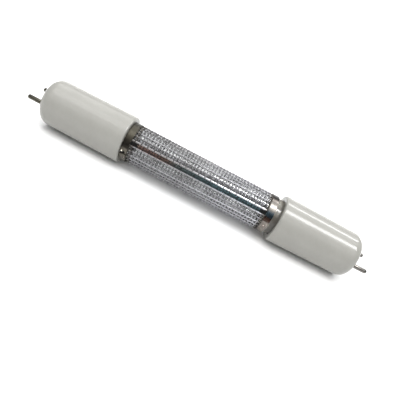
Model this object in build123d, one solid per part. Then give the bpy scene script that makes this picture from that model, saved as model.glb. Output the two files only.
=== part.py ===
from build123d import *
import os
from math import asin, cos, degrees, radians, sin

# Germicidal ultraviolet lamp: a quartz tube with a two-pin cap at each end, and a slit wire mesh
# strapped round it. The lamp's axis is X, the two pins of each cap lie level along Y, and +Z is up.
# The origin is the middle of the lamp. Millimetres and degrees.

# Driving dimensions
cap_gap = 86.0              # clear length between the mouths of the two caps
cap_length = 45.4
cap_side_wall = 1.8         # at the mouth
cap_taper = 0.55            # how much less the cap's radius is at its outer end than at its mouth
cap_end_rounding = 5.0
cap_mouth_rounding = 0.8
cap_end_wall = 3.6
cap_lip_depth = 2.5         # lip at the mouth that centres the cap on the glass
cap_lip_slope = 0.6
cap_floor_corner = 1.0      # corner between the bore and the end wall

tube_diameter = 19.0
tube_wall = 1.0
seal_width = 16.0           # flattened glass seal, level like the pins
seal_thickness = 4.4
seal_edge_rounding = 2.15
seal_length = 9.0
shoulder_length = 7.0       # from the round tube to the flattened seal
dome_tip_radius = 1.1       # hollow of the tube, where it ends at the seal
seal_end_gap = 7.0          # from the end of the seal to the inside of the cap's end wall

pin_spacing = 12.7
pin_diameter = 2.35
pin_reach = 7.9
pin_shank_diameter = 2.0     # from the cap's outer face inwards, where the pin's shoulder seats
pin_tip_rounding = 0.95
pin_bore_diameter = 1.1     # socket for the lead in the pin's inner end
pin_bore_depth = 3.2
pin_flange_diameter = 4.0
pin_flange_thickness = 0.8
pin_tail = 2.2              # from the flange to the pin's inner end
pin_boss_diameter = 5.6
pin_boss_height = 1.6

lead_diameter = 0.7
foil_width = 2.4
foil_length = 6.0
foil_thickness = 0.12
foil_spacing = 7.0          # between the two foils of a seal
lead_lap = 1.2              # length of each lead laid on its foil
lead_sink = 0.04            # depth of the groove that a welded lead has pressed in its foil
outer_lead_run = 1.2        # straight stretch of an outer lead out of the seal, and into the pin
inner_lead_reach = 14.0     # from the glass shoulder to the filament

coil_diameter = 1.7
coil_wire = 0.3
coil_turns = 4
coil_wire_sides = 4

cement_thickness = 1.4
cement_length = 11.0
pellet_diameter = 1.8
pellet_depth = 9.0          # how far behind the right cap's mouth the pellet sticks to the glass
pellet_flat = 0.18          # how much of the bead is pressed flat against the glass

wire_diameter = 0.42        # wire of the woven mesh
mesh_columns = 26           # wires along the lamp
hoop_pitch = 7.0            # every fourth wire round the lamp is a ridge here
hoop_count = 10
slit_width = 2.4
slit_elevation = 31.0       # the slit faces this far above level, towards -Y
window_share = 2            # one cell of this many is open, by turns along and round the lamp
window_margin = 0.42
hoop_share = 0.6            # how far a hoop stands out of the flat wall, as a share of a wire
pressed_share = 0.15        # the same for the mesh pressed under a strap
mesh_end_inset = 0.25       # how far the mesh ends inside the outer edge of each strap

strap_width = 3.6
strap_thickness = 0.3
strap_inset = 3.6           # bare glass between the right strap and the right cap
weld_diameter = 1.3
weld_dimple_depth = 0.14

# Strap ends, as angles down from the middle of the slit
right_outer_end = 21        # edge of the layer that lies on top
right_fold = 63             # where the strap steps up over its own end
right_inner_end = 60
right_weld_angle = 35
right_hole_angle = 50
right_hole_diameter = 0.7
right_hole_inset = 0.9      # from the strap's inner edge to the hole
left_outer_end = 41
left_fold = 76
left_inner_end = 34
left_weld_angle = 53
left_tongue_end = 64
left_tongue_width = 1.6
left_lip_height = 0.35      # lip bent up at the edge beside the tongue
left_lip_angle = 1.6
left_lip_gap = 0.2

# Clearances
cap_to_glass = 0.15
mesh_to_glass = 0.06
strap_to_mesh = 0.03
strap_to_cap = 0.1
strap_layer_gap = 0.06
overcut = 1.0               # how far a cutting or joining solid runs past the face that it meets

# Sizes that follow
mouth_x = cap_gap / 2
end_x = mouth_x + cap_length
end_wall_x = end_x - cap_end_wall
tube_radius = tube_diameter / 2
bore_radius = tube_radius + cement_thickness
cap_mouth_radius = bore_radius + cap_side_wall
cap_end_radius = cap_mouth_radius - cap_taper
cement_x = mouth_x + cap_lip_depth + cap_lip_slope
pellet_x = mouth_x + pellet_depth
seal_end_x = end_wall_x - seal_end_gap
seal_start_x = seal_end_x - seal_length
shoulder_x = seal_start_x - shoulder_length
foil_x = (seal_start_x + seal_end_x) / 2
foil_inner_x = foil_x - foil_length / 2
foil_outer_x = foil_x + foil_length / 2
lead_z = foil_thickness / 2 + lead_diameter / 2 - lead_sink
flange_x = end_wall_x - pin_boss_height
pin_inner_x = flange_x - pin_flange_thickness - pin_tail
filament_x = shoulder_x - inner_lead_reach + shoulder_length

mesh_inner = tube_radius + mesh_to_glass
mesh_outer = mesh_inner + 2 * wire_diameter
mesh_floor = mesh_inner + wire_diameter
mesh_hoop = mesh_floor + wire_diameter * hoop_share
mesh_pressed = mesh_floor + wire_diameter * pressed_share
strap_inner = mesh_pressed + strap_to_mesh
strap_outer = strap_inner + strap_thickness
left_strap_x = -mouth_x + strap_to_cap
right_strap_x = mouth_x - strap_inset - strap_width
mesh_left_x = left_strap_x + mesh_end_inset
mesh_right_x = right_strap_x + strap_width - mesh_end_inset

slit_angle = 180 - slit_elevation
slit_half_angle = degrees(asin(slit_width / 2 / mesh_outer))


def polar(radius, angle):
    """Point of the lamp's cross-section, where the angle is measured down from the middle of the slit."""
    turn = radians(slit_angle + angle)
    return radius * cos(turn), radius * sin(turn)


def ring_sector(inner, outer, start, end):
    """Face between two radii from one angle to another, in the lamp's cross-section."""
    middle = (start + end) / 2
    outline = Curve() + [
        ThreePointArc(polar(outer, start), polar(outer, middle), polar(outer, end)),
        Line(polar(outer, end), polar(inner, end)),
        ThreePointArc(polar(inner, end), polar(inner, middle), polar(inner, start)),
        Line(polar(inner, start), polar(outer, start)),
    ]
    return make_face(outline)


def along(face, start_x, length):
    """Solid of a cross-section's face, run along the lamp from start_x."""
    return extrude(Plane.YZ.offset(start_x) * face, length)


def rod(x_start, x_end, y, z, diameter):
    """Round rod along X."""
    plane = Plane.YZ.offset(x_start)
    return extrude(plane * Pos(y, z) * Circle(diameter / 2), x_end - x_start)


def turned(outline):
    """Solid of revolution about the lamp's axis, from an outline in X and radius."""
    return revolve(make_face(outline), Axis.X)


def other_end(solid):
    """The same piece at the lamp's left end."""
    return mirror(solid, Plane.YZ)


# End cap
# A cup with a lip at its mouth, a slight draft, a broad rounded end and a boss inside for each pin.
def end_cap():
    lip_radius = tube_radius + cap_to_glass
    lip_x = mouth_x + cap_lip_depth
    mouth_inner = (mouth_x, cap_mouth_radius - cap_mouth_rounding)
    mouth_outer = (mouth_x + cap_mouth_rounding, cap_mouth_radius)
    end_outer = (end_x - cap_end_rounding, cap_end_radius)
    end_inner = (end_x, cap_end_radius - cap_end_rounding)
    outline = Curve() + [
        Polyline(
            (end_x, 0),
            (end_wall_x, 0),
            (end_wall_x, bore_radius - cap_floor_corner),
            (end_wall_x - cap_floor_corner, bore_radius),
            (cement_x, bore_radius),
            (lip_x, lip_radius),
            (mouth_x, lip_radius),
            mouth_inner,
        ),
        RadiusArc(mouth_inner, mouth_outer, cap_mouth_rounding),
        Line(mouth_outer, end_outer),
        RadiusArc(end_outer, end_inner, cap_end_rounding),
        Line(end_inner, (end_x, 0)),
    ]
    cap = turned(outline)
    for side in (-1, 1):
        y = side * pin_spacing / 2
        cap += rod(flange_x, end_wall_x + overcut, y, 0, pin_boss_diameter)
    for side in (-1, 1):
        y = side * pin_spacing / 2
        cap -= rod(flange_x - overcut, end_x + overcut, y, 0, pin_shank_diameter)
    return cap


# Contact pin
# A pin with a rounded tip, held between its shoulder outside the cap and its flange on the boss inside,
# with a socket for the lead in its inner end.
def contact_pin(side):
    y = side * pin_spacing / 2
    tip_x = end_x + pin_reach
    pin = rod(end_x, tip_x, y, 0, pin_diameter)
    pin = fillet(pin.edges().sort_by(Axis.X)[-1], pin_tip_rounding)
    pin += rod(pin_inner_x, end_x, y, 0, pin_shank_diameter)
    pin += rod(flange_x - pin_flange_thickness, flange_x, y, 0, pin_flange_diameter)
    pin -= rod(pin_inner_x - overcut, pin_inner_x + pin_bore_depth, y, 0, pin_bore_diameter)
    return pin


# Quartz envelope
# One drawn tube, pressed flat at each end over the foils and leads that it seals.
def seal_outline():
    """Outline of the flattened seal, across the lamp where it starts."""
    return Plane.YZ.offset(seal_start_x) * RectangleRounded(seal_width, seal_thickness, seal_edge_rounding)


def seal_metal(side):
    """Everything in one seal on one side, as one solid: the foil and the leads inside the glass."""
    y = side * foil_spacing / 2
    foil = Pos(foil_x, y, 0) * Box(foil_length, foil_width, foil_thickness)
    inner = rod(shoulder_x, foil_inner_x + lead_lap, y, lead_z, lead_diameter)
    outer = rod(foil_outer_x - lead_lap, seal_end_x + overcut, y, lead_z, lead_diameter)
    return foil + inner + outer


def quartz_end():
    """Right half of the envelope."""
    round_end = Plane.YZ.offset(shoulder_x) * Circle(tube_radius)
    body = extrude(Plane.YZ * Circle(tube_radius), shoulder_x)
    shoulder = loft([round_end, seal_outline()])
    seal = extrude(seal_outline(), seal_length)
    inner_radius = tube_radius - tube_wall
    dome_x = seal_start_x - tube_wall
    straight_x = shoulder_x - tube_wall
    cavity_outline = Curve() + [
        Polyline((dome_x, 0), (0, 0), (0, inner_radius), (straight_x, inner_radius)),
        Line((straight_x, inner_radius), (dome_x, dome_tip_radius)),
        Line((dome_x, dome_tip_radius), (dome_x, 0)),
    ]
    return body + shoulder + seal - turned(cavity_outline)


def quartz_envelope():
    right = quartz_end()
    for side in (-1, 1):
        right -= seal_metal(side)
    return right + other_end(right)


# Seal foil
def seal_foil(side):
    y = side * foil_spacing / 2
    foil = Pos(foil_x, y, 0) * Box(foil_length, foil_width, foil_thickness)
    foil -= rod(shoulder_x, foil_inner_x + lead_lap, y, lead_z, lead_diameter)
    foil -= rod(foil_outer_x - lead_lap, seal_end_x, y, lead_z, lead_diameter)
    return foil


# Inner lead
# A straight wire from the foil to the end of the filament.
def inner_lead(side):
    y = side * foil_spacing / 2
    return rod(filament_x - lead_diameter, foil_inner_x + lead_lap, y, lead_z, lead_diameter)


# Outer lead
# From the foil out of the seal, set over to the pin's place and into its socket.
def outer_lead(side):
    start_y = side * foil_spacing / 2
    end_y = side * pin_spacing / 2
    path = Polyline(
        (foil_outer_x - lead_lap, start_y, lead_z),
        (seal_end_x + outer_lead_run, start_y, lead_z),
        (pin_inner_x - outer_lead_run, end_y, 0),
        (pin_inner_x + outer_lead_run * 2, end_y, 0),
    )
    section = Plane(path @ 0, z_dir=path % 0) * Circle(lead_diameter / 2)
    return sweep(section, path, transition=Transition.RIGHT)


# Filament
# A coil across the lamp, whose two wire ends meet the inner leads.
def filament():
    span = foil_spacing - lead_diameter - coil_wire
    radius = coil_diameter / 2
    turn = Helix(span / coil_turns, span, radius)
    section = Plane(turn @ 0, z_dir=turn % 0) * RegularPolygon(coil_wire / 2, coil_wire_sides)
    coil = sweep(section, turn, is_frenet=True)
    coil = Rot(-90, 0, 0) * coil
    return Pos(filament_x - radius, -span / 2, lead_z) * coil


# Cement ring
def cement_ring():
    ring = rod(cement_x, cement_x + cement_length, 0, 0, 2 * bore_radius)
    return ring - rod(cement_x, cement_x + cement_length, 0, 0, tube_diameter)


# Amalgam pellet
# A bead stuck to the bottom of the tube's inside, behind the right cap's mouth.
def amalgam_pellet():
    floor_radius = tube_radius - tube_wall
    bead = Pos(pellet_x, 0, pellet_diameter / 2 - pellet_flat - floor_radius) * Sphere(pellet_diameter / 2)
    return bead & rod(pellet_x - pellet_diameter, pellet_x + pellet_diameter, 0, 0, 2 * floor_radius)


# Mesh sleeve
# A ridge for each wire along the lamp, hoops across them, and open cells in slanting rows.
def mesh_column_angles():
    """Middle of each wire along the lamp, down from the middle of the slit."""
    first = slit_half_angle + degrees(wire_diameter / 2 / mesh_outer)
    step = (360 - 2 * first) / (mesh_columns - 1)
    return [first + step * i for i in range(mesh_columns)]


def ridged_section(floor_radius, ridge_radius):
    """Wall of the sleeve across the lamp, flat from wire to wire, with a ridge on each wire."""
    half_wire = degrees(wire_diameter / 2 / mesh_outer)
    rim = []
    for angle in mesh_column_angles():
        rim.append(polar(floor_radius, angle - half_wire))
        rim.append(polar(ridge_radius, angle - half_wire))
        rim.append(polar(ridge_radius, angle + half_wire))
        rim.append(polar(floor_radius, angle + half_wire))
    if ridge_radius == floor_radius:
        rim = rim[::2]
    inside = [polar(mesh_inner, angle) for angle in (360 - slit_half_angle, 180, slit_half_angle)]
    outline = Curve() + [
        Polyline(*rim),
        Line(rim[-1], inside[0]),
        ThreePointArc(*inside),
        Line(inside[-1], rim[0]),
    ]
    return make_face(outline)


def mesh_sleeve():
    ridge_start_x = left_strap_x + strap_width + strap_to_cap
    ridge_end_x = right_strap_x - strap_to_cap
    sleeve = along(ridged_section(mesh_floor, mesh_outer), ridge_start_x, ridge_end_x - ridge_start_x)

    hoop = ridged_section(mesh_hoop, mesh_hoop)
    first_hoop_x = (ridge_start_x + ridge_end_x - (hoop_count - 1) * hoop_pitch) / 2
    hoops = [along(hoop, first_hoop_x + hoop_pitch * i - wire_diameter / 2, wire_diameter)
             for i in range(hoop_count)]
    pressed = ring_sector(mesh_inner, mesh_pressed, slit_half_angle, 360 - slit_half_angle)
    ends = [along(pressed, mesh_left_x, ridge_start_x - mesh_left_x),
            along(pressed, ridge_end_x, mesh_right_x - ridge_end_x)]
    sleeve = sleeve + hoops + ends

    windows = []
    columns = mesh_column_angles()
    half_margin = degrees(window_margin / mesh_outer)
    for i in range(hoop_count - 1):
        window_x = first_hoop_x + hoop_pitch * i + window_margin
        for j in range(mesh_columns - 1):
            if (i + j) % window_share == 0:
                opening = ring_sector(mesh_inner - overcut, mesh_outer, columns[j] + half_margin,
                                      columns[j + 1] - half_margin)
                windows.append(along(opening, window_x, hoop_pitch - 2 * window_margin))
    return sleeve - windows


# Straps
# Each is one strip of thin sheet bent round the mesh, whose outer end lies over its inner end.
def strap_ring(start_x, inner_end, fold, outer_end):
    """Strip wound up from inner_end, round the back, and out over itself from fold up to outer_end."""
    lift = strap_thickness + strap_layer_gap
    step = degrees(2 * lift / strap_outer)
    section = ring_sector(strap_inner, strap_outer, fold + step - 360, inner_end)
    section += ring_sector(strap_inner + lift, strap_outer + lift, outer_end, fold)
    section += make_face(Polyline(
        polar(strap_inner, fold + step),
        polar(strap_outer, fold + step),
        polar(strap_outer + lift, fold),
        polar(strap_inner + lift, fold),
        close=True,
    ))
    return along(section, start_x, strap_width)


def radial_plane(x, radius, angle):
    """Plane square to the lamp's radius at an angle, facing out."""
    y, z = polar(radius, angle)
    return Plane(origin=(x, y, z), x_dir=(1, 0, 0), z_dir=(0, y, z))


def spot_weld(strap, x, angle):
    """Joins the two layers and presses a shallow round dimple in the outer one."""
    outer = strap_outer + strap_layer_gap + strap_thickness
    nugget = Cylinder(weld_diameter / 2, strap_layer_gap + strap_thickness)
    strap += radial_plane(x, strap_outer + strap_layer_gap / 2, angle) * nugget
    half = weld_diameter / 2
    ball_radius = (half**2 + weld_dimple_depth**2) / (2 * weld_dimple_depth)
    return strap - radial_plane(x, outer + ball_radius - weld_dimple_depth, angle) * Sphere(ball_radius)


def strap_band_right():
    strap = strap_ring(right_strap_x, right_inner_end, right_fold, right_outer_end)
    strap = spot_weld(strap, right_strap_x + strap_width / 2, right_weld_angle)
    hole_radius = strap_outer + strap_thickness
    hole_plane = radial_plane(right_strap_x + right_hole_inset, hole_radius, right_hole_angle)
    return strap - hole_plane * Cylinder(right_hole_diameter / 2, strap_thickness * 2)


def strap_band_left():
    strap = strap_ring(left_strap_x, left_inner_end, left_fold, left_outer_end)
    tongue_x = left_strap_x + strap_width - left_tongue_width
    tongue = ring_sector(strap_inner, strap_outer, left_inner_end, left_tongue_end)
    strap += along(tongue, tongue_x, left_tongue_width)
    lip_start = left_inner_end - left_lip_angle
    lip = ring_sector(strap_inner, strap_outer + left_lip_height, lip_start, left_inner_end)
    strap += along(lip, left_strap_x, strap_width - left_tongue_width - left_lip_gap)
    return spot_weld(strap, tongue_x + left_tongue_width / 2, left_weld_angle)


def build():
    os.makedirs("parts", exist_ok=True)
    nodes = {}
    cap = end_cap()
    nodes["end_cap_right"] = cap
    nodes["end_cap_left"] = other_end(cap)
    for name, side in (("front", -1), ("back", 1)):
        for piece, make in (("contact_pin", contact_pin), ("inner_lead", inner_lead),
                            ("outer_lead", outer_lead), ("seal_foil", seal_foil)):
            solid = make(side)
            nodes[f"{piece}_right_{name}"] = solid
            nodes[f"{piece}_left_{name}"] = other_end(solid)
    coil = filament()
    nodes["filament_right"] = coil
    nodes["filament_left"] = other_end(coil)
    ring = cement_ring()
    nodes["cement_ring_right"] = ring
    nodes["cement_ring_left"] = other_end(ring)
    nodes["quartz_envelope"] = quartz_envelope()
    nodes["amalgam_pellet"] = amalgam_pellet()
    nodes["mesh_sleeve"] = mesh_sleeve()
    nodes["strap_band_left"] = strap_band_left()
    nodes["strap_band_right"] = strap_band_right()
    for name, solid in nodes.items():
        export_step(solid, f"parts/{name}.step")


build()
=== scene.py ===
import math
import random

import bmesh
import bpy
from mathutils import Matrix, Vector


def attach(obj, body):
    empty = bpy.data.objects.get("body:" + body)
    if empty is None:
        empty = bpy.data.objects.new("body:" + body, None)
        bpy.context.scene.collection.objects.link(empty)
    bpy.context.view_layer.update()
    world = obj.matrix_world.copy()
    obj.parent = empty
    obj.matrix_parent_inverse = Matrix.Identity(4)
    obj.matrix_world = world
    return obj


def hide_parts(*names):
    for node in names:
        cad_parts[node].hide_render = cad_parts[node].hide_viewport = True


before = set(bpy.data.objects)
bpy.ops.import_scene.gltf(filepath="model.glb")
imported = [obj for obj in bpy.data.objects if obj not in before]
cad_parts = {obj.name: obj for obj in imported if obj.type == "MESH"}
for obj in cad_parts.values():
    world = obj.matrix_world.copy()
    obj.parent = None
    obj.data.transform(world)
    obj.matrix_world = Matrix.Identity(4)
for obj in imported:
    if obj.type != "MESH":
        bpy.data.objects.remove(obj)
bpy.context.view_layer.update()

# Germicidal ultraviolet lamp. Its axis is X and its middle the origin. Lengths are in millimetres, which MM
# turns into metres. Angles are in degrees, and round the axis they count down from the middle of the slit.
MM = 0.001

# Camera: it looks down on the front of the lamp, and its turns in radians set the lamp at a slant
CAMERA_ELEVATION = 31.3
CAMERA_DISTANCE = 179.65
CAMERA_X = 0.3
CAMERA_ROLL = 0.4826
CAMERA_PITCH = 0.0567
CAMERA_YAW = -0.0208
SENSOR_WIDTH = 36.0
FOCAL_LENGTH = 30.9681

# End caps, measured from the middle of the lamp
MOUTH_X = 43.0
END_WALL_X = 84.8
END_X = 88.4
CAP_MOUTH_RADIUS = 12.7
CAP_END_RADIUS = 12.15
CAP_BORE_RADIUS = 10.9
CAP_END_ROUNDING = 5.0
CAP_MOUTH_ROUNDING = 0.8
CAP_BORE_ROUNDING = 1.0

# Collar inside each cap's mouth, which centres the cap on the tube
COLLAR_RADIUS = 9.65
COLLAR_LENGTH = 2.5
COLLAR_SLOPE_END = 3.1
COLLAR_ROUNDING = 0.25

# Contact pins, hollow at their inner ends for the wires
PIN_Y = 6.35
PIN_RADIUS = 1.175
PIN_TIP_X = 96.3
PIN_TIP_ROUNDING = 0.95
SHANK_X = 80.2
SHANK_RADIUS = 1.0
FLANGE_X = 82.4
FLANGE_END_X = 83.2
FLANGE_RADIUS = 2.0
PIN_HOLLOW_END_X = 83.4
PIN_HOLLOW_RADIUS = 0.55

# Quartz tube, pressed flat at its ends
TUBE_RADIUS = 9.5
TUBE_INNER_RADIUS = 8.5
SHOULDER_X = 61.8
SHOULDER_STEPS = 8
SEAL_X = 68.8
SEAL_END_X = 77.8
SEAL_HALF_THICKNESS = 2.2
SEAL_FLAT_HALF_WIDTH = 5.85
SEAL_EDGE_WIDTH = 2.15
SEAL_SQUARENESS = 1.7
HOLLOW_SHORTER_BY = 1.0
HOLLOW_TIP_RADIUS = 1.1

# Woven mesh: wires along the lamp, and rings that are open at the slit
SLIT_ANGLE = 150.5  # from the Y axis towards Z
SLIT_HALF_ANGLE = 6.6275
HEM_HALF_ANGLE = 2.0  # from the slit's edge to the middle of its first wire
MESH_LEFT_X = -42.65
MESH_RIGHT_X = 39.15
MESH_END_ROOM = 0.8
COLUMNS = 26  # places for wires along the lamp, of which the hem wire takes the last
RING_PITCH = 1.75
WIRE_WIDTH = 0.60
HEM_WIRE_WIDTH = 0.78
WIRE_FLATNESS = 0.55
WEAVE_RADIUS = 9.96
DEGREES_PER_MM = 180 / math.pi / WEAVE_RADIUS
COLUMN_SWING = 0.07  # of a wire along the lamp above and below the middle of the weave
RING_SWING = 0.26
CROSSING_ENDS = (-0.25, 0.25)  # shares of the pitch between which a wire runs level past another
RING_OVERHANG = 0.1
HEM_SWING = 0.05
HEM_STEP = 3

# Unevenness of the weave, as ranges to draw from
WEAVE_SEED = 11
RING_JITTER = (-0.1, 0.1)
RING_TRIM = (-0.1, 0.05)
SWAY_AMOUNT = (0.02, 0.08)
SWAY_WAVES = (1.0, 2.2)
SWAY_SHIFT = (-0.12, 0.12)
SWAY_LENGTH = 14
LEAN_AMOUNT = (0.03, 0.12)
LEAN_LENGTH = 5

# Straps, and how they press the weave
STRAP_WIDTH = 3.6
STRAP_THICKNESS = 0.3
STRAP_INNER = 10.073
STRAP_LIFT = 0.36  # of the outer end over the inner one
STRAP_SHARP_ANGLE = 60
STRAP_EDGE_ROUNDING = 0.05
STRAP_PANELS = 16
UNDER_STEP = 3  # between the stations of the part that lies on the mesh
OVER_STEP = 1.1  # between the stations of the outer end
FOLD_TURN = 5.5  # in which the strap steps up
FOLD_REST = 2.0  # from the step to the next station
SKIN_TOLERANCE = 0.02
LEFT_STRAP_X = -42.9
LEFT_STRAP_END_X = LEFT_STRAP_X + STRAP_WIDTH
RIGHT_STRAP_X = 36.0
PRESSED_RADIUS = 9.80
PRESSED_SHARE = 0.6
PRESS_MARGIN = 0.6  # from a strap's edge to where the weave is loose
PRESS_EASE = 0.8  # in which it is pressed flat

# Tongue under the left strap's end, and the lip bent up beside it
TONGUE_WIDTH = 1.6
TONGUE_ANGLES = (33, 64)
TONGUE_STEP = 2
LIP_WIDTH = 1.8
LIP_ANGLES = (32.6, 34)
LIP_STEP = 0.7
LIP_LIFT = 0.28

# Small features of the straps, as (x, angle); the notch's shadow and the glint beside the left strap's lip
# are painted
LEFT_WELD = (LEFT_STRAP_X + 2.8, 53)
LEFT_NOTCH_SHADOW = (LEFT_STRAP_X + 2.1, 36.0)
LEFT_PAINTED_GLINT = (LEFT_STRAP_X + 0.9, 33.5)
RIGHT_WELD = (RIGHT_STRAP_X + 1.8, 35)
RIGHT_HOLE = (RIGHT_STRAP_X + 0.9, 50)
DIMPLE_RIM_REACH = 1.6

# Studio, in metres but for the gap under the lamp
FLOOR_GAP = 0.02
FLOOR_HALF_WIDTH = 2.5
FLOOR_FRONT_Y = -2.0
FLOOR_BEND_Y = 0.25
FLOOR_BEND_RADIUS = 0.5
FLOOR_BEND_STEPS = 12
FLOOR_TOP_Z = 3.0
WORLD_STRENGTH = 0.4

# Ranges of the mottle that a finish spreads its colours and roughness over
WIDE = (0.3, 0.7)
NARROW = (0.35, 0.65)
SPOT_CORE = 0.6  # share of a spot's radius that is fully coloured


def make_camera():
    rise = math.radians(CAMERA_ELEVATION)
    across = Vector((1, 0, 0))
    up = Vector((0, math.sin(rise), math.cos(rise)))
    towards = Vector((0, -math.cos(rise), math.sin(rise)))
    face_on = Matrix((across, up, towards))
    flip = Matrix(((1, 0, 0), (0, -1, 0), (0, 0, -1)))
    turn = (Matrix.Rotation(CAMERA_ROLL, 3, "Z") @ Matrix.Rotation(CAMERA_PITCH, 3, "X")
            @ Matrix.Rotation(CAMERA_YAW, 3, "Y"))
    world_to_camera = flip @ turn @ flip @ face_on
    place = across * CAMERA_X * MM + towards * CAMERA_DISTANCE * MM
    camera = bpy.data.objects.new("camera", bpy.data.cameras.new("camera"))
    camera.data.sensor_width = SENSOR_WIDTH
    camera.data.lens = FOCAL_LENGTH
    camera.data.clip_start = 0.01
    camera.matrix_world = Matrix.Translation(place) @ world_to_camera.transposed().to_4x4()
    bpy.context.scene.collection.objects.link(camera)
    bpy.context.scene.camera = camera


# Mesh helpers
def to_mesh(bm, name):
    """Turns a bmesh into a mesh and frees it."""
    mesh = bpy.data.meshes.new(name)
    bm.to_mesh(mesh)
    bm.free()
    return mesh


def link_mesh(mesh, name, smooth_angle=40):
    """Puts a mesh in the scene, smooth but for edges sharper than smooth_angle."""
    mesh.polygons.foreach_set("use_smooth", [True] * len(mesh.polygons))
    mesh.set_sharp_from_angle(angle=math.radians(smooth_angle))
    piece = bpy.data.objects.new(name, mesh)
    bpy.context.scene.collection.objects.link(piece)
    return piece


def add_piece(bm, name, smooth_angle=40):
    """Makes a piece of the lamp from a finished bmesh, with closed seams and outward faces."""
    bmesh.ops.remove_doubles(bm, verts=bm.verts, dist=1e-7)
    bmesh.ops.recalc_face_normals(bm, faces=bm.faces)
    piece = link_mesh(to_mesh(bm, name), name, smooth_angle)
    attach(piece, "root")
    return piece


def only(kind, geom):
    """The parts of an operator's geometry that are of one kind."""
    return [g for g in geom if isinstance(g, kind)]


def spin_profile(points, steps=128):
    """A shape turned about the lamp's axis from (x, radius) points."""
    bm = bmesh.new()
    verts = [bm.verts.new((x * MM, 0, radius * MM)) for x, radius in points]
    edges = [bm.edges.new(pair) for pair in zip(verts, verts[1:])]
    bmesh.ops.spin(bm, geom=verts + edges, cent=(0, 0, 0), axis=(1, 0, 0), dvec=(0, 0, 0),
                   angle=math.tau, steps=steps, use_merge=True)
    bmesh.ops.remove_doubles(bm, verts=bm.verts, dist=1e-7)
    bmesh.ops.recalc_face_normals(bm, faces=bm.faces)
    return bm


def round_ring(bm, x, radius, width, segments):
    """Rounds the ring of edges at x and radius."""
    def on_ring(v):
        return abs(v.co.x - x * MM) < 1e-6 and abs(math.hypot(v.co.y, v.co.z) - radius * MM) < 1e-6

    ring = [e for e in bm.edges if all(on_ring(v) for v in e.verts)]
    bmesh.ops.bevel(bm, geom=ring, offset=width * MM, offset_type="OFFSET", segments=segments,
                    profile=0.5, affect="EDGES", material=-1)


def mirror(bm):
    """Turns a right-hand shape into the left-hand one."""
    bmesh.ops.scale(bm, vec=(-1, 1, 1), verts=bm.verts)
    bmesh.ops.reverse_faces(bm, faces=bm.faces)


def polar(radius, angle):
    """(y, z) at an angle down from the middle of the slit."""
    turn = math.radians(SLIT_ANGLE + angle)
    return radius * math.cos(turn), radius * math.sin(turn)


def angles_between(start, end, step):
    """Angles from start to end, about step apart."""
    count = max(1, round(abs(end - start) / step))
    return [start + (end - start) * i / count for i in range(count + 1)]


# End caps
def make_cap(name, side):
    bm = spin_profile([
        (END_X, 0),
        (END_X, CAP_END_RADIUS),
        (MOUTH_X, CAP_MOUTH_RADIUS),
        (MOUTH_X, COLLAR_RADIUS),
        (MOUTH_X + COLLAR_LENGTH, COLLAR_RADIUS),
        (MOUTH_X + COLLAR_SLOPE_END, CAP_BORE_RADIUS),
        (END_WALL_X, CAP_BORE_RADIUS),
        (END_WALL_X, 0),
    ])
    round_ring(bm, END_X, CAP_END_RADIUS, CAP_END_ROUNDING, segments=14)
    round_ring(bm, MOUTH_X, CAP_MOUTH_RADIUS, CAP_MOUTH_ROUNDING, segments=6)
    round_ring(bm, MOUTH_X, COLLAR_RADIUS, COLLAR_ROUNDING, segments=3)
    round_ring(bm, END_WALL_X, CAP_BORE_RADIUS, CAP_BORE_ROUNDING, segments=4)
    if side < 0:
        mirror(bm)
    return add_piece(bm, name)


# Contact pins
def make_pin(name, side, y):
    bm = spin_profile([
        (PIN_HOLLOW_END_X, 0),
        (PIN_HOLLOW_END_X, PIN_HOLLOW_RADIUS),
        (SHANK_X, PIN_HOLLOW_RADIUS),
        (SHANK_X, SHANK_RADIUS),
        (FLANGE_X, SHANK_RADIUS),
        (FLANGE_X, FLANGE_RADIUS),
        (FLANGE_END_X, FLANGE_RADIUS),
        (FLANGE_END_X, SHANK_RADIUS),
        (END_X, SHANK_RADIUS),
        (END_X, PIN_RADIUS),
        (PIN_TIP_X, PIN_RADIUS),
        (PIN_TIP_X, 0),
    ], steps=40)
    round_ring(bm, PIN_TIP_X, PIN_RADIUS, PIN_TIP_ROUNDING, segments=8)
    bmesh.ops.translate(bm, vec=(0, y * MM, 0), verts=bm.verts)
    if side < 0:
        mirror(bm)
    return add_piece(bm, name)


# Quartz tube
def flattened(co, share):
    """A point of the round tube's skin, moved by a share of the way to the seal's flat section."""
    turn = math.atan2(co.z, co.y)
    flat = max(-1.0, min(1.0, SEAL_SQUARENESS * math.cos(turn)))
    flat_y = (SEAL_FLAT_HALF_WIDTH * flat + SEAL_EDGE_WIDTH * math.cos(turn)) * MM
    flat_z = SEAL_HALF_THICKNESS * MM * math.copysign(abs(math.sin(turn)) ** 0.5, math.sin(turn))
    return Vector((co.x, co.y + (flat_y - co.y) * share, co.z + (flat_z - co.z) * share))


def tube_stations():
    """(x, share of flatness) places from the left end of the tube to the right one."""
    right = []
    for i in range(SHOULDER_STEPS + 1):
        way = i / SHOULDER_STEPS
        right.append((SHOULDER_X + (SEAL_X - SHOULDER_X) * way, (1 - math.cos(math.pi * way)) / 2))
    right.append((SEAL_END_X, 1.0))
    return [(-x, share) for x, share in reversed(right)] + right


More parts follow.
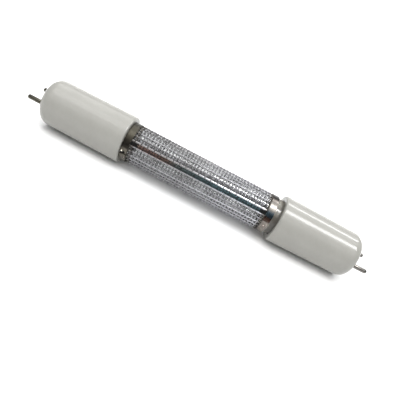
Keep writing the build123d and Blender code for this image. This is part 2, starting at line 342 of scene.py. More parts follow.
def make_tube(name):
    bm = bmesh.new()
    circle = bmesh.ops.create_circle(bm, cap_ends=False, radius=TUBE_RADIUS * MM, segments=128)
    bmesh.ops.rotate(bm, verts=circle["verts"], cent=(0, 0, 0), matrix=Matrix.Rotation(math.pi / 2, 3, "Y"))
    round_places = {v: v.co.copy() for v in bm.verts}
    left_ring = ring = list(bm.edges)
    stations = tube_stations()
    for v in bm.verts:
        v.co = flattened(v.co, stations[0][1])
        v.co.x = stations[0][0] * MM
    for x, share in stations[1:]:
        grown = bmesh.ops.extrude_edge_only(bm, edges=ring)["geom"]
        ring = only(bmesh.types.BMEdge, grown)
        moved = set(only(bmesh.types.BMVert, grown))
        for v in moved:
            neighbours = [e.other_vert(v) for e in v.link_edges]
            round_places[v] = round_places[next(n for n in neighbours if n not in moved)]
        for v in moved:
            v.co = flattened(round_places[v], share)
            v.co.x = x * MM
    bmesh.ops.holes_fill(bm, edges=left_ring + ring, sides=0)
    bmesh.ops.recalc_face_normals(bm, faces=bm.faces)

    hollow = spin_profile([
        (-SEAL_X + HOLLOW_SHORTER_BY, 0),
        (-SEAL_X + HOLLOW_SHORTER_BY, HOLLOW_TIP_RADIUS),
        (-SHOULDER_X + HOLLOW_SHORTER_BY, TUBE_INNER_RADIUS),
        (SHOULDER_X - HOLLOW_SHORTER_BY, TUBE_INNER_RADIUS),
        (SEAL_X - HOLLOW_SHORTER_BY, HOLLOW_TIP_RADIUS),
        (SEAL_X - HOLLOW_SHORTER_BY, 0),
    ])
    bmesh.ops.reverse_faces(hollow, faces=hollow.faces)
    inside = to_mesh(hollow, "hollow")
    bm.from_mesh(inside)
    bpy.data.meshes.remove(inside)
    piece = link_mesh(to_mesh(bm, name), name)
    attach(piece, "root")
    return piece


# Woven mesh, drawn flat and bent round the tube
def column_angles():
    first = SLIT_HALF_ANGLE + HEM_HALF_ANGLE
    step = (360 - 2 * first) / (COLUMNS - 1)
    return [first + step * i for i in range(COLUMNS)]


def ring_places():
    count = int((MESH_RIGHT_X - MESH_LEFT_X - MESH_END_ROOM) / RING_PITCH)
    start = (MESH_LEFT_X + MESH_RIGHT_X - (count - 1) * RING_PITCH) / 2
    return [start + RING_PITCH * i for i in range(count)]


def pressed(x):
    """How much the straps press the weave flat at x, from 0 to 1."""
    left = LEFT_STRAP_END_X + PRESS_MARGIN - x
    right = x - (RIGHT_STRAP_X - PRESS_MARGIN)
    return max(0.0, min(1.0, max(left, right) / PRESS_EASE))


def wrap(mesh):
    """Bends flat wires round the tube: X runs along it, Y round it from the slit, and Z is the height."""
    for v in mesh.vertices:
        x, angle, height = v.co.x, v.co.y * DEGREES_PER_MM, v.co.z * WIRE_FLATNESS
        loose = WEAVE_RADIUS + height
        tight = PRESSED_RADIUS + height * PRESSED_SHARE
        y, z = polar(loose + (tight - loose) * pressed(x), angle)
        v.co = (x * MM, y * MM, z * MM)


def add_wires(name, paths, width, resolution):
    """One mesh of round wires that follow paths, bent round the tube."""
    curve = bpy.data.curves.new(name, "CURVE")
    curve.dimensions = "3D"
    curve.bevel_depth = width / 2
    curve.bevel_resolution = 2
    curve.use_fill_caps = True
    curve.resolution_u = resolution
    for path in paths:
        spline = curve.splines.new("NURBS")
        spline.points.add(len(path) - 1)
        for point, place in zip(spline.points, path):
            point.co = (*place, 1)
        spline.order_u = 3
        spline.use_endpoint_u = True
    line = bpy.data.objects.new(name + "_line", curve)
    bpy.context.scene.collection.objects.link(line)
    bpy.context.view_layer.update()
    mesh = bpy.data.meshes.new_from_object(line.evaluated_get(bpy.context.evaluated_depsgraph_get()))
    bpy.data.objects.remove(line)
    bpy.data.curves.remove(curve)
    mesh.name = name
    wrap(mesh)
    piece = link_mesh(mesh, name, smooth_angle=60)
    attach(piece, "root")
    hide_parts("mesh_sleeve")
    return piece


def column_path(number, place, sway, rings):
    """A wire along the lamp, over and under the rings; the first one, at the slit, doesn't sway."""
    amount, phase, waves, shift = sway
    path = []
    for i, ring_x in enumerate([MESH_LEFT_X] + rings + [MESH_RIGHT_X]):
        height = (COLUMN_SWING if (i + number) % 2 else -COLUMN_SWING) / WIRE_FLATNESS
        for end in CROSSING_ENDS:
            x = min(max(ring_x + end * RING_PITCH, MESH_LEFT_X), MESH_RIGHT_X)
            drift = shift + amount * math.sin(phase + waves * x / SWAY_LENGTH) if number else 0
            path.append((x, place + drift, height))
    return path


def ring_path(number, x, lean, trim, columns):
    """A wire round the lamp, under and over the columns, from one edge of the slit to the other."""
    amount, phase = lean
    pitch = columns[1] - columns[0]
    path = [(x, columns[0] - RING_OVERHANG + trim, 0)]
    for j, place in enumerate(columns):
        height = (-RING_SWING if (number + 1 + j) % 2 else RING_SWING) / WIRE_FLATNESS
        for end in CROSSING_ENDS:
            across = max(place + end * pitch, columns[0] - RING_OVERHANG)
            across = min(across, columns[-1] + RING_OVERHANG)
            path.append((x + amount * math.sin(phase + across / LEAN_LENGTH), across, height))
    path.append((x, columns[-1] + RING_OVERHANG, 0))
    return path


def make_weave():
    rng = random.Random(WEAVE_SEED)
    columns = [angle / DEGREES_PER_MM for angle in column_angles()]
    rings = [x + rng.uniform(*RING_JITTER) for x in ring_places()]
    sways = [(rng.uniform(*SWAY_AMOUNT), rng.uniform(0, math.tau), rng.uniform(*SWAY_WAVES),
              rng.uniform(*SWAY_SHIFT)) for _ in columns]
    leans = [(rng.uniform(*LEAN_AMOUNT), rng.uniform(0, math.tau)) for _ in rings]
    trims = [rng.uniform(*RING_TRIM) for _ in rings]

    along = [column_path(j, columns[j], sways[j], rings) for j in range(COLUMNS - 1)]
    round_tube = [ring_path(i, rings[i], leans[i], trims[i], columns) for i in range(len(rings))]
    hem_places = range(int(MESH_LEFT_X), int(MESH_RIGHT_X) + 1, HEM_STEP)
    hem = [(x, columns[-1], HEM_SWING * math.sin(x)) for x in hem_places]
    return [add_wires("mesh_wires_along", along, WIRE_WIDTH, resolution=2),
            add_wires("mesh_wires_round", round_tube, WIRE_WIDTH, resolution=3),
            add_wires("mesh_hem_wire", [hem], HEM_WIRE_WIDTH, resolution=4)]


# Straps: sheet bent round the mesh, one end over the other
def bend_strip(bm, x0, x1, stations, panels):
    """Adds a closed strip of sheet from x0 to x1 that follows (angle, inner radius) stations."""
    angle, inner = stations[0]
    places = [x0 + (x1 - x0) * i / panels for i in range(panels + 1)]
    corners = [(x, inner) for x in places] + [(x, inner + STRAP_THICKNESS) for x in reversed(places)]
    verts = [bm.verts.new((x * MM, *(c * MM for c in polar(radius, angle)))) for x, radius in corners]
    last = len(verts) - 1
    section = [bm.faces.new([verts[i], verts[i + 1], verts[last - 1 - i], verts[last - i]])
               for i in range(panels)]
    made = list(verts)
    for number, (next_angle, next_inner) in enumerate(stations[1:]):
        grown = bmesh.ops.extrude_face_region(bm, geom=section)["geom"]
        if number:
            bmesh.ops.delete(bm, geom=section, context="FACES_ONLY")
        section = only(bmesh.types.BMFace, grown)
        moved = only(bmesh.types.BMVert, grown)
        turn = Matrix.Rotation(math.radians(next_angle - angle), 3, "X")
        for v in moved:
            v.co = turn @ v.co
            lift_radially(v, next_inner - inner)
        made += moved
        angle, inner = next_angle, next_inner
    return made


def lift_radially(v, height):
    """Moves a vertex away from the lamp's axis."""
    radius = math.hypot(v.co.y, v.co.z)
    scale = (radius + height * MM) / radius
    v.co.y *= scale
    v.co.z *= scale


def press_dimple(verts, place, radius, depth, rim):
    """Presses a round dimple with a low rim into the sheet at an (x, angle) place."""
    x, angle = place
    for v in verts:
        turn = math.degrees(math.atan2(v.co.z, v.co.y)) - SLIT_ANGLE
        if turn < -180:
            turn += 360
        off_round = math.radians(turn - angle) * math.hypot(v.co.y, v.co.z)
        distance = math.hypot(v.co.x - x * MM, off_round) / (radius * MM)
        if distance < 1:
            lift_radially(v, -depth * (1 - distance ** 2))
        elif distance < DIMPLE_RIM_REACH:
            lift_radially(v, rim * math.sin((distance - 1) / (DIMPLE_RIM_REACH - 1) * math.pi))


def bend_strap(bm, x, inner_end, fold, outer_end):
    """Adds a strap that steps up past its fold, and returns the vertices of the raised end."""
    raised = STRAP_INNER + STRAP_LIFT
    under = angles_between(inner_end, fold, UNDER_STEP)
    over = [fold - FOLD_TURN] + angles_between(fold - FOLD_TURN - FOLD_REST, outer_end, OVER_STEP)
    stations = [(a, STRAP_INNER) for a in under] + [(a, raised) for a in over]
    verts = bend_strip(bm, x, x + STRAP_WIDTH, stations, STRAP_PANELS)
    return [v for v in verts if math.hypot(v.co.y, v.co.z) > (raised - SKIN_TOLERANCE) * MM]


def finish_strap(bm, name, node):
    bmesh.ops.recalc_face_normals(bm, faces=bm.faces)
    sharp = [e for e in bm.edges if e.is_manifold and e.calc_face_angle() > math.radians(STRAP_SHARP_ANGLE)]
    bmesh.ops.bevel(bm, geom=sharp, offset=STRAP_EDGE_ROUNDING * MM, offset_type="OFFSET", segments=2,
                    profile=0.5, affect="EDGES", material=-1)
    piece = add_piece(bm, name, smooth_angle=50)
    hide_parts(node)
    return piece


def make_right_strap():
    bm = bmesh.new()
    raised = bend_strap(bm, RIGHT_STRAP_X, inner_end=60, fold=-291.5, outer_end=-339)
    press_dimple(raised, RIGHT_WELD, radius=0.62, depth=0.16, rim=0.05)
    press_dimple(raised, RIGHT_HOLE, radius=0.36, depth=0.28, rim=0.03)
    return finish_strap(bm, "strap_right", "strap_band_right")


def make_left_strap():
    bm = bmesh.new()
    raised = bend_strap(bm, LEFT_STRAP_X, inner_end=34, fold=-278.5, outer_end=-319)
    press_dimple(raised, LEFT_WELD, radius=0.55, depth=0.14, rim=0.05)
    tongue = [(a, STRAP_INNER) for a in angles_between(*TONGUE_ANGLES, TONGUE_STEP)]
    bend_strip(bm, LEFT_STRAP_END_X - TONGUE_WIDTH, LEFT_STRAP_END_X, tongue, panels=6)
    lip = [(a, STRAP_INNER + LIP_LIFT) for a in angles_between(*LIP_ANGLES, LIP_STEP)]
    bend_strip(bm, LEFT_STRAP_X, LEFT_STRAP_X + LIP_WIDTH, lip, panels=4)
    return finish_strap(bm, "strap_left", "strap_band_left")


# Shader groups
def node_group(name, inputs, outputs):
    """An empty shader group with sockets given as (name, type)."""
    group = bpy.data.node_groups.new(name, "ShaderNodeTree")
    for label, kind in inputs:
        group.interface.new_socket(name=label, in_out="INPUT", socket_type=kind)
    for label, kind in outputs:
        group.interface.new_socket(name=label, in_out="OUTPUT", socket_type=kind)
    return group, group.nodes.new("NodeGroupInput"), group.nodes.new("NodeGroupOutput")


def math_node(nodes, links, operation, a, b):
    node = nodes.new("ShaderNodeMath")
    node.operation = operation
    for socket, value in zip(node.inputs, (a, b)):
        if isinstance(value, (int, float)):
            socket.default_value = value
        else:
            links.new(value, socket)
    return node.outputs[0]


def make_mottle_group():
    """Soft patches and fine specks: Value varies about 0.5."""
    group, inside, outside = node_group(
        "surface_mottle",
        [("Vector", "NodeSocketVector"), ("Scale", "NodeSocketFloat"), ("Fine", "NodeSocketFloat"),
         ("Share", "NodeSocketFloat")],
        [("Value", "NodeSocketFloat")])
    nodes, links = group.nodes, group.links
    broad = nodes.new("ShaderNodeTexNoise")
    fine = nodes.new("ShaderNodeTexNoise")
    broad.inputs["Detail"].default_value = 3
    fine.inputs["Detail"].default_value = 2
    links.new(inside.outputs["Vector"], broad.inputs["Vector"])
    links.new(inside.outputs["Vector"], fine.inputs["Vector"])
    links.new(inside.outputs["Scale"], broad.inputs["Scale"])
    links.new(math_node(nodes, links, "MULTIPLY", inside.outputs["Scale"], inside.outputs["Fine"]),
              fine.inputs["Scale"])
    mix = nodes.new("ShaderNodeMix")
    links.new(inside.outputs["Share"], mix.inputs["Factor"])
    links.new(broad.outputs["Fac"], mix.inputs["A"])
    links.new(fine.outputs["Fac"], mix.inputs["B"])
    links.new(mix.outputs["Result"], outside.inputs["Value"])
    return group


def make_drawn_group():
    """Fine lines drawn along the lamp or round it: Value is the height of the lines."""
    group, inside, outside = node_group(
        "drawn_lines",
        [("Vector", "NodeSocketVector"), ("Stretch", "NodeSocketVector")],
        [("Value", "NodeSocketFloat")])
    nodes, links = group.nodes, group.links
    scaled = nodes.new("ShaderNodeVectorMath")
    scaled.operation = "MULTIPLY"
    links.new(inside.outputs["Vector"], scaled.inputs[0])
    links.new(inside.outputs["Stretch"], scaled.inputs[1])
    lines = nodes.new("ShaderNodeTexNoise")
    lines.inputs["Scale"].default_value = 1.0
    lines.inputs["Detail"].default_value = 2
    links.new(scaled.outputs["Vector"], lines.inputs["Vector"])
    links.new(lines.outputs["Fac"], outside.inputs["Value"])
    return group


MOTTLE = make_mottle_group()
DRAWN = make_drawn_group()


class Finish:
    """A material being built, with its shader and Object coordinates at hand."""

    def __init__(self, name, **sockets):
        self.material = bpy.data.materials.new(name)
        self.material.use_nodes = True
        self.nodes = self.material.node_tree.nodes
        self.links = self.material.node_tree.links
        self.shader = self.nodes["Principled BSDF"]
        self.place = self.nodes.new("ShaderNodeTexCoord").outputs["Object"]
        for label, value in sockets.items():
            self.shader.inputs[label.replace("_", " ")].default_value = value

    def color(self, socket):
        self.links.new(socket, self.shader.inputs["Base Color"])

    def roughness(self, socket):
        self.links.new(socket, self.shader.inputs["Roughness"])

    def bump(self, height, depth, strength):
        """Roughens the surface by a height pattern that is depth millimetres deep."""
        node = self.nodes.new("ShaderNodeBump")
        node.inputs["Distance"].default_value = depth * MM
        node.inputs["Strength"].default_value = strength
        self.links.new(height, node.inputs["Height"])
        self.links.new(node.outputs["Normal"], self.shader.inputs["Normal"])

    def pass_light(self, color):
        """Lets the lights shine through clear glass on what is inside it."""
        clear = self.nodes.new("ShaderNodeBsdfTransparent")
        clear.inputs["Color"].default_value = (*color, 1)
        path = self.nodes.new("ShaderNodeLightPath")
        mix = self.nodes.new("ShaderNodeMixShader")
        self.links.new(path.outputs["Is Shadow Ray"], mix.inputs[0])
        self.links.new(self.shader.outputs["BSDF"], mix.inputs[1])
        self.links.new(clear.outputs["BSDF"], mix.inputs[2])
        self.links.new(mix.outputs["Shader"], self.nodes["Material Output"].inputs["Surface"])

    # Patterns
    def mottle(self, scale, fine=4.0, share=0.4):
        node = self.nodes.new("ShaderNodeGroup")
        node.node_tree = MOTTLE
        self.links.new(self.place, node.inputs["Vector"])
        node.inputs["Scale"].default_value = scale
        node.inputs["Fine"].default_value = fine
        node.inputs["Share"].default_value = share
        return node.outputs["Value"]

    def drawn(self, stretch):
        node = self.nodes.new("ShaderNodeGroup")
        node.node_tree = DRAWN
        self.links.new(self.place, node.inputs["Vector"])
        node.inputs["Stretch"].default_value = stretch
        return node.outputs["Value"]

    def mottled_tone(self, dark, light, reach=WIDE, **pattern):
        """A colour between dark and light, by the mottle within its reach."""
        return self.ramp(self.mottle(**pattern), [(reach[0], dark), (reach[1], light)])

    def mottled_level(self, low, high, **pattern):
        """A number between low and high, by the mottle."""
        return self.rescale(self.mottle(**pattern), WIDE, (low, high))

    # Places on the lamp
    def position(self):
        """Metres along the lamp from its middle, and the angle down from the slit, from -180 to 180."""
        parts = self.nodes.new("ShaderNodeSeparateXYZ")
        self.links.new(self.place, parts.inputs[0])
        turned = self.nodes.new("ShaderNodeVectorRotate")
        turned.rotation_type = "X_AXIS"
        turned.inputs["Angle"].default_value = -math.radians(SLIT_ANGLE)
        self.links.new(self.place, turned.inputs["Vector"])
        turned_parts = self.nodes.new("ShaderNodeSeparateXYZ")
        self.links.new(turned.outputs["Vector"], turned_parts.inputs[0])
        turn = self.combine("ARCTAN2", turned_parts.outputs["Z"], turned_parts.outputs["Y"])
        return parts.outputs["X"], self.combine("MULTIPLY", turn, 180 / math.pi)

    def gap(self, value, middle):
        """How far a value is from its middle."""
        return self.combine("ABSOLUTE", self.combine("SUBTRACT", value, middle), 0.0)

    def spot(self, x, turn, place, radius):
        """1 on a round spot about an (x, angle) place, 0 past its radius."""
        off_x = self.combine("DIVIDE", self.gap(x, place[0] * MM), MM)
        off_round = self.combine("DIVIDE", self.gap(turn, place[1]), DEGREES_PER_MM)
        squares = [self.combine("MULTIPLY", off, off) for off in (off_x, off_round)]
        distance = self.combine("SQRT", self.combine("ADD", *squares), 0.0)
        return self.rescale(distance, (radius * SPOT_CORE, radius), (1.0, 0.0))

    # Values and colours
    def combine(self, operation, a, b):
        return math_node(self.nodes, self.links, operation, a, b)

    def rescale(self, value, source, target):
        """Maps a value from its source range to a target range, and holds it there."""
        node = self.nodes.new("ShaderNodeMapRange")
        labels = ("From Min", "From Max", "To Min", "To Max")
        for label, number in zip(labels, (*source, *target)):
            node.inputs[label].default_value = number
        self.links.new(value, node.inputs["Value"])
        return node.outputs["Result"]

    def ramp(self, value, stops):
        """A colour ramp from (position, colour) stops."""
        node = self.nodes.new("ShaderNodeValToRGB")
        points = node.color_ramp.elements
        while len(points) < len(stops):
            points.new(0.5)
        for point, (position, color) in zip(points, stops):
            point.position = position
            point.color = (*color, 1)
        self.links.new(value, node.inputs["Fac"])
        return node.outputs["Color"]

    def bands(self, turn, stops):
        """Colours round the lamp from (angle, colour) stops."""
        return self.ramp(self.rescale(turn, (-180, 180), (0, 1)),
                         [((angle + 180) / 360, color) for angle, color in stops])

    def blend(self, factor, a, b, mode="MIX"):
        node = self.nodes.new("ShaderNodeMix")
        node.data_type = "RGBA"
        node.blend_type = mode
        for label, value in (("Factor", factor), ("A", a), ("B", b)):
            socket = [s for s in node.inputs if s.name == label and s.enabled][0]
            if isinstance(value, (int, float)):
                socket.default_value = value
            elif isinstance(value, tuple):
                socket.default_value = (*value, 1)
            else:
                self.links.new(value, socket)
        return [s for s in node.outputs if s.enabled][0]


# Finishes
def ceramic_glaze():
    f = Finish("ceramic_glaze", Specular_IOR_Level=0.08, Coat_Weight=0.34, Coat_Roughness=0.03, Coat_IOR=1.5)
    f.color(f.mottled_tone((0.270, 0.267, 0.247), (0.293, 0.290, 0.268), scale=90, fine=6, share=0.35))
    f.roughness(f.mottled_level(0.16, 0.26, scale=400))
    f.bump(f.mottle(scale=200, fine=3, share=0.2), depth=0.02, strength=0.04)
    return f.material


def tube_glass():
    """Clear quartz with painted reflection and shade, brown to blue-green, in the slit, painted shade over
    it, and frosty past the mesh.
    """
    f = Finish("tube_glass", Transmission_Weight=1.0, IOR=1.46, Coat_Roughness=0.03)
    x, turn = f.position()
    # Painted reflection and shade seen in the slit, brown on the left to blue-green on the right
    slit_painted_reflection = f.ramp(f.rescale(x, (-45 * MM, 45 * MM), (0, 1)), [
        (0.05, (0.15, 0.12, 0.10)),
        (0.15, (0.17, 0.10, 0.085)),
        (0.28, (0.16, 0.10, 0.08)),
        (0.34, (0.10, 0.115, 0.11)),
        (0.55, (0.085, 0.145, 0.16)),
        (0.95, (0.085, 0.14, 0.165)),
    ])
    clear = f.mottled_tone((0.57, 0.58, 0.58), (0.63, 0.64, 0.64), NARROW, scale=160)
    # A band of painted shade, dark grey, on the glass over the slit
    in_painted_shade_band = f.rescale(f.gap(turn, -15.0), (5.0, 7.5), (1.0, 0.0))
    in_slit = f.rescale(f.gap(turn, 0.0), (6.5, 9.0), (1.0, 0.0))
    past_mesh = f.rescale(f.gap(x, 0.0), (39.0 * MM, 39.6 * MM), (0.0, 1.0))
    body = f.blend(in_painted_shade_band, clear, (0.16, 0.16, 0.17))
    body = f.blend(in_slit, body, slit_painted_reflection)
    f.color(f.blend(past_mesh, body, (0.42, 0.395, 0.33)))
    shine = f.combine("MULTIPLY", past_mesh, f.rescale(turn, (-30, -24), (0.2, 0.85)))
    f.links.new(shine, f.shader.inputs["Coat Weight"])
    frosting = f.combine("MULTIPLY", past_mesh, 0.6)
    f.roughness(f.combine("ADD", f.mottled_level(0.02, 0.06, scale=300), frosting))
    f.bump(f.mottle(scale=250), depth=0.02, strength=0.1)
    f.pass_light((0.12, 0.12, 0.12))
    return f.material


def mesh_wire(name, shade, roughness, left_shade_share, levels):
    """Stainless wire, scorched at the straps, with painted shade over its left half and painted light and
    shade round the lamp; levels are (angle, brightness).
    """
    f = Finish(name, Metallic=1.0)
    x, turn = f.position()

    def shaded(*color):
        return tuple(shade * c for c in color)

    at_left = f.rescale(x, ((LEFT_STRAP_END_X + 1.8) * MM, (LEFT_STRAP_END_X + 2.8) * MM), (0.88, 0.0))
    at_right = f.rescale(x, ((RIGHT_STRAP_X - 2.2) * MM, (RIGHT_STRAP_X - 1.2) * MM), (0.0, 0.85))
    # Painted shade that darkens the wire towards its left half, where the strips' reflections are weak
    left_painted_shade = f.rescale(x, (-8 * MM, 12 * MM), (left_shade_share, 0.0))
    scorch_and_shade = f.combine("MAXIMUM", left_painted_shade, f.combine("MAXIMUM", at_left, at_right))
    tone = f.mottled_tone(shaded(0.80, 0.80, 0.86), shaded(1.10, 1.10, 1.16), scale=500, fine=5)
    # Painted light and shade round the lamp, by angle, from the levels
    tone = f.blend(1.0, tone, f.bands(turn, [(angle, (level,) * 3) for angle, level in levels]), "MULTIPLY")
    f.color(f.blend(scorch_and_shade, tone, shaded(0.14, 0.125, 0.105)))
    f.roughness(f.mottled_level(roughness - 0.06, roughness + 0.06, scale=900))
    f.bump(f.drawn((900.0, 9000.0, 9000.0)), depth=0.02, strength=0.3)
    return f.material


def strap_steel(name, tints_and_reflections, stain, roughness, marks):
    """Heat-tinted steel with painted reflections and shade; tints_and_reflections are (angle, colour), marks
    are (place, radius, colour).
    """
    f = Finish(name, Metallic=1.0)
    x, turn = f.position()
    # Painted reflections and shade by angle, over the heat tints
    tone = f.bands(turn, tints_and_reflections)
    stained = f.rescale(f.mottle(scale=260, share=0.35), (0.42, 0.62), (0.0, 0.5))
    tone = f.blend(stained, tone, stain)
    for place, radius, color in marks:
        tone = f.blend(f.spot(x, turn, place, radius), tone, color)
    f.color(tone)
    f.roughness(f.mottled_level(roughness - 0.08, roughness + 0.08, scale=500))
    f.bump(f.drawn((6000.0, 500.0, 500.0)), depth=0.02, strength=0.35)
    return f.material


def pin_steel(name, dark, light):
    f = Finish(name, Metallic=1.0)
    f.color(f.mottled_tone(dark, light, NARROW, scale=300))
    f.roughness(f.mottled_level(0.14, 0.20, scale=400))
    f.bump(f.mottle(scale=500), depth=0.01, strength=0.1)
    return f.material


def lead_wire():
    f = Finish("lead_wire", Metallic=1.0)
    f.color(f.mottled_tone((0.42, 0.42, 0.41), (0.6, 0.6, 0.58), scale=700))
    f.roughness(f.mottled_level(0.25, 0.4, scale=1200))
    f.bump(f.drawn((300.0, 6000.0, 6000.0)), depth=0.01, strength=0.4)
    return f.material


def tungsten_wire():
    f = Finish("tungsten_wire", Metallic=1.0)
    f.color(f.mottled_tone((0.16, 0.16, 0.17), (0.3, 0.3, 0.31), scale=900))
    f.roughness(f.mottled_level(0.35, 0.5, scale=1500))
    return f.material


def cement_paste():
    f = Finish("cement_paste")
    f.color(f.mottled_tone((0.55, 0.53, 0.47), (0.7, 0.68, 0.62), scale=400))
    f.roughness(f.mottled_level(0.75, 0.95, scale=900))
    f.bump(f.mottle(scale=1800, fine=3, share=0.5), depth=0.08, strength=0.6)
    return f.material


def amalgam_bead():
    f = Finish("amalgam_bead", Metallic=1.0)
    f.color(f.mottled_tone((0.6, 0.6, 0.6), (0.75, 0.75, 0.74), scale=800))
    f.roughness(f.mottled_level(0.08, 0.2, scale=1200))
    return f.material


def floor_paper():
    f = Finish("floor_paper", Roughness=0.9, Specular_IOR_Level=0.1)
    f.color(f.mottled_tone((0.87, 0.87, 0.87), (0.89, 0.89, 0.89), scale=300))
    return f.material


def paint(piece, material):
    """Gives a piece its material, adding a slot where it has none."""
    if not piece.data.materials:
        piece.data.materials.append(material)
    for place in piece.material_slots:
        place.link = "OBJECT"
        place.material = material


# Studio, in metres
def make_floor():
    """A sheet of paper that runs level under the lamp and bends up behind it."""
    bm = bmesh.new()
    floor_z = -CAP_MOUTH_RADIUS * MM - FLOOR_GAP * MM
    front = [bm.verts.new((x, FLOOR_FRONT_Y, floor_z)) for x in (-FLOOR_HALF_WIDTH, FLOOR_HALF_WIDTH)]
    profile = []
    for i in range(FLOOR_BEND_STEPS + 1):
        bend = math.pi / 2 * i / FLOOR_BEND_STEPS
        profile.append((FLOOR_BEND_Y + FLOOR_BEND_RADIUS * math.sin(bend),
                        floor_z + FLOOR_BEND_RADIUS * (1 - math.cos(bend))))
    profile.append((FLOOR_BEND_Y + FLOOR_BEND_RADIUS, FLOOR_TOP_Z))
    edges = [bm.edges.new(front)]
    for y, z in profile:
        grown = bmesh.ops.extrude_edge_only(bm, edges=edges)["geom"]
        edges = only(bmesh.types.BMEdge, grown)
        for v in only(bmesh.types.BMVert, grown):
            v.co.y, v.co.z = y, z
    bmesh.ops.recalc_face_normals(bm, faces=bm.faces)
    floor = link_mesh(to_mesh(bm, "floor"), "floor")
    paint(floor, floor_paper())


def over_lamp(elevation, distance, x=0.0):
    """A place at a distance from the lamp's axis; 0 degrees is in front, 90 above and 180 behind."""
    turn = math.radians(elevation)
    return x, -math.cos(turn) * distance, math.sin(turn) * distance


def area_light(name, place, aim, width, length, radiance):
    """A soft light whose long side lies along X; radiance is its brightness when seen."""
    light = bpy.data.lights.new(name, "AREA")
    light.shape = "RECTANGLE"
    light.size = length
    light.size_y = width
    light.energy = radiance * math.pi * width * length
    lamp = bpy.data.objects.new(name, light)
    back = (Vector(place) - Vector(aim)).normalized()
    side = Vector((1, 0, 0))
    side = (side - back * side.dot(back)).normalized()
    up = back.cross(side)
    lamp.matrix_world = Matrix.Translation(place) @ Matrix((side, up, back)).transposed().to_4x4()
    bpy.context.scene.collection.objects.link(lamp)
    return lamp


def make_lights():
    """Two strips that only show as reflections, and soft boxes above, behind and in front."""
    for name, elevation, x, width, length, radiance in (
            ("overhead_strip", 80, 0.205, 0.13, 0.36, 19),
            ("back_strip", 122, 0.25, 0.08, 0.24, 15)):
        strip = area_light(name, over_lamp(elevation, 0.5, x), (x, 0, 0), width, length, radiance)
        strip.visible_diffuse = False
    for name, place, width, length, radiance in (
            ("overhead_box", over_lamp(78, 0.7), 0.38, 1.0, 4.6),
            ("back_box", over_lamp(116.5, 0.7), 0.58, 1.0, 2.6),
            ("front_box", (-0.26, -0.43, 0.52), 0.3, 0.5, 1.6),
            ("front_box", (0.26, -0.43, 0.52), 0.3, 0.5, 1.6)):
        area_light(name, place, (0, 0, 0), width, length, radiance)


def make_world():
    world = bpy.data.worlds.new("studio")
    bpy.context.scene.world = world
    world.use_nodes = True
    background = world.node_tree.nodes["Background"]
    background.inputs["Color"].default_value = (1.0, 1.0, 1.0, 1)
    background.inputs["Strength"].default_value = WORLD_STRENGTH
    bpy.context.scene.view_settings.view_transform = "Standard"


make_camera()

glaze = ceramic_glaze()
for side, label in ((-1, "left"), (1, "right")):
    cap = make_cap("cap_" + label, side)
    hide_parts("end_cap_" + label)
    paint(cap, glaze)

# The right pins get a lighter colour than the left ones, which is painted light
left_steel = pin_steel("pin_steel_left", dark=(0.055, 0.052, 0.040), light=(0.09, 0.085, 0.068))
right_steel_painted_light = pin_steel("pin_steel_right_painted_light", dark=(0.12, 0.113, 0.105), light=(0.18, 0.172, 0.16))
for side, label, steel in ((-1, "left", left_steel), (1, "right", right_steel_painted_light)):
    for y, place in ((-PIN_Y, "front"), (PIN_Y, "back")):
        pin = make_pin(f"pin_{label}_{place}", side, y)
        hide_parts(f"contact_pin_{label}_{place}")
        paint(pin, steel)

tube = make_tube("glass_tube")
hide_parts("quartz_envelope")
paint(tube, tube_glass())

# Painted light and shade on the wires round the lamp, as (angle, level): brighter below the slit, darker
# above it and darkest in a band over it
weave_painted_light = [(-90, 0.36), (-50, 0.30), (-38, 0.52), (-22, 0.42), (-18, 0.26), (-9, 0.26), (10, 0.52),
                (22, 0.38), (32, 1.0), (56, 1.0), (80, 0.60)]
even_levels = [(-90, 1.0), (90, 1.0)]
wires = (
    # The round wires get a darker colour than the wires along the lamp, which paints shade between the
    # bright rows
    mesh_wire("mesh_wire_along", shade=0.56, roughness=0.48, left_shade_share=0.35, levels=weave_painted_light),
    mesh_wire("mesh_wire_round", shade=0.36, roughness=0.58, left_shade_share=0.35, levels=weave_painted_light),
    mesh_wire("mesh_wire_hem", shade=0.60, roughness=0.16, left_shade_share=0.72, levels=even_levels),
)
for piece, wire in zip(make_weave(), wires):
    paint(piece, wire)

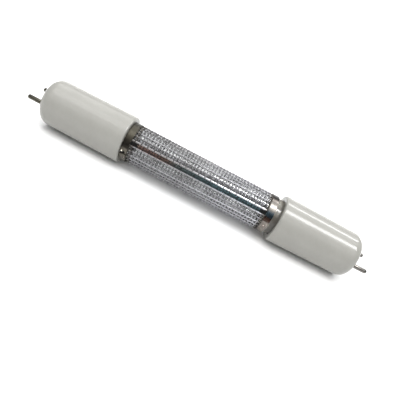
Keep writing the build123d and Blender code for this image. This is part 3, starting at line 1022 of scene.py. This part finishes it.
# Heat tints with painted reflections and shade round the straps, as (angle, colour), and small marks, as
# (place, radius, colour)
left_tints_and_reflections = [
    (-90, (0.065, 0.062, 0.052)),
    (-40, (0.052, 0.049, 0.040)),
    (-15, (0.036, 0.033, 0.026)),
    (3, (0.040, 0.036, 0.029)),
    (12, (0.022, 0.020, 0.017)),
    (20, (0.022, 0.020, 0.017)),
    (24, (0.095, 0.087, 0.072)),
    (60, (0.15, 0.14, 0.12)),
]
left_marks = [
    (LEFT_WELD, 0.8, (0.05, 0.04, 0.035)),
    (LEFT_WELD, 0.4, (0.40, 0.36, 0.33)),
    # A painted shadow in the notch and a painted glint on the lip
    (LEFT_NOTCH_SHADOW, 0.9, (0.004, 0.004, 0.003)),
    (LEFT_PAINTED_GLINT, 0.6, (0.98, 0.93, 0.85)),
]
right_tints_and_reflections = [
    (-90, (0.022, 0.020, 0.018)),
    (-56, (0.022, 0.020, 0.018)),
    (-45, (0.10, 0.094, 0.085)),
    (-14, (0.13, 0.125, 0.115)),
    (-6, (0.040, 0.058, 0.072)),
    (6, (0.034, 0.050, 0.062)),
    (9, (0.050, 0.027, 0.020)),
    (20.5, (0.050, 0.028, 0.021)),
    (21.5, (0.22, 0.20, 0.18)),
]
right_marks = [
    (RIGHT_WELD, 0.85, (0.10, 0.075, 0.065)),
    (RIGHT_WELD, 0.45, (0.60, 0.53, 0.49)),
]
left_strap_steel = strap_steel("strap_steel_left", left_tints_and_reflections, stain=(0.035, 0.032, 0.024),
                               roughness=0.32, marks=left_marks)
right_strap_steel = strap_steel("strap_steel_right", right_tints_and_reflections, stain=(0.06, 0.05, 0.045),
                                roughness=0.26, marks=right_marks)
paint(make_left_strap(), left_strap_steel)
paint(make_right_strap(), right_strap_steel)

# Pieces inside the lamp keep the shapes of their nodes
lead = lead_wire()
inner_finishes = {
    "filament": tungsten_wire(),
    "inner_lead": lead,
    "outer_lead": lead,
    "seal_foil": lead,
    "cement_ring": cement_paste(),
    "amalgam_pellet": amalgam_bead(),
}
for node_name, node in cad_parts.items():
    for start, material in inner_finishes.items():
        if node_name.startswith(start):
            paint(node, material)

make_floor()
make_lights()
make_world()
